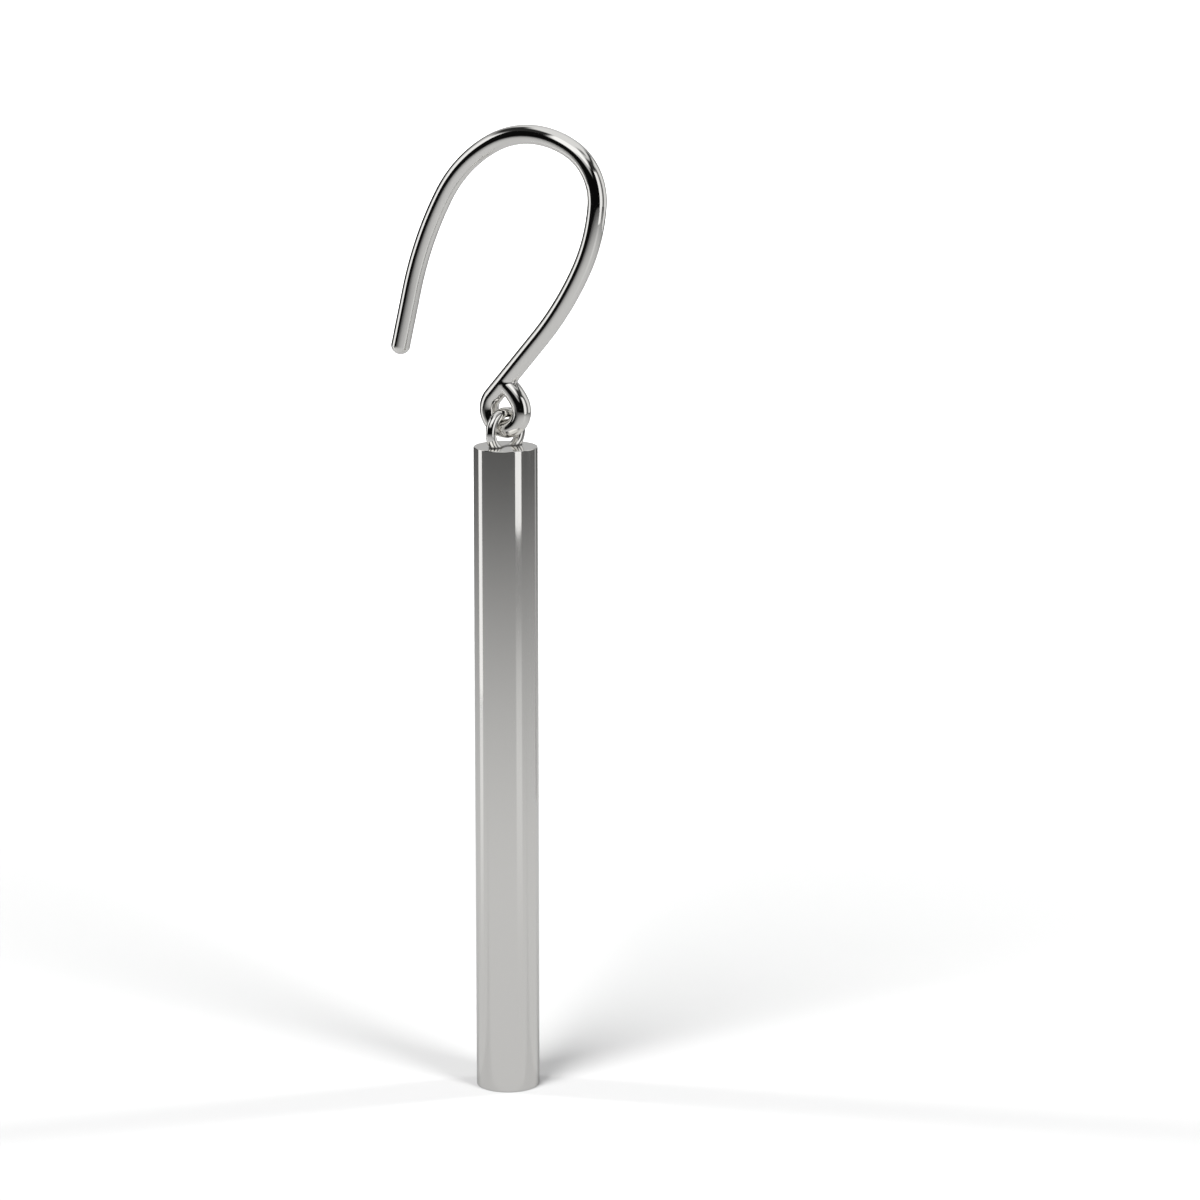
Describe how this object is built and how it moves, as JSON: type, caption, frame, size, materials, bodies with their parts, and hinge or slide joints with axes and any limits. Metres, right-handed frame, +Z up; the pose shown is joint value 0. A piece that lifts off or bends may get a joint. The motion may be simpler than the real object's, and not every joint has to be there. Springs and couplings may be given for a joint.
{
  "type": "bar drop earring",
  "caption": "Polished silver drop earring: a slim round bar hung by a small soldered ring from a French ear hook with a closed eye.",
  "frame": {"origin": "top of the inside of the hook's bow, where the earring hangs in the ear", "axes": "+Z up, along the bar; the hook lies in the plane x = 0 with its open leg towards +Y and its front towards -Y"},
  "size_m": [0.003, 0.0115, 0.0461],
  "materials": {
    "hook_silver": "polished sterling silver wire, bright",
    "bar_silver": "polished sterling silver rod, mirror bright with faint hairline marks"
  },
  "bodies": {
    "hook": {"ear_hook": "hook_silver"},
    "drop": {"bar_drop": "bar_silver"}
  },
  "joints": [
    {"name": "drop_swing", "type": "hinge", "parent": "hook", "child": "drop", "pos_m": [0, 0.00145, -0.01333], "axis": [0.2924, 0.9563, 0], "range_deg": [-90, 90]}
  ]
}
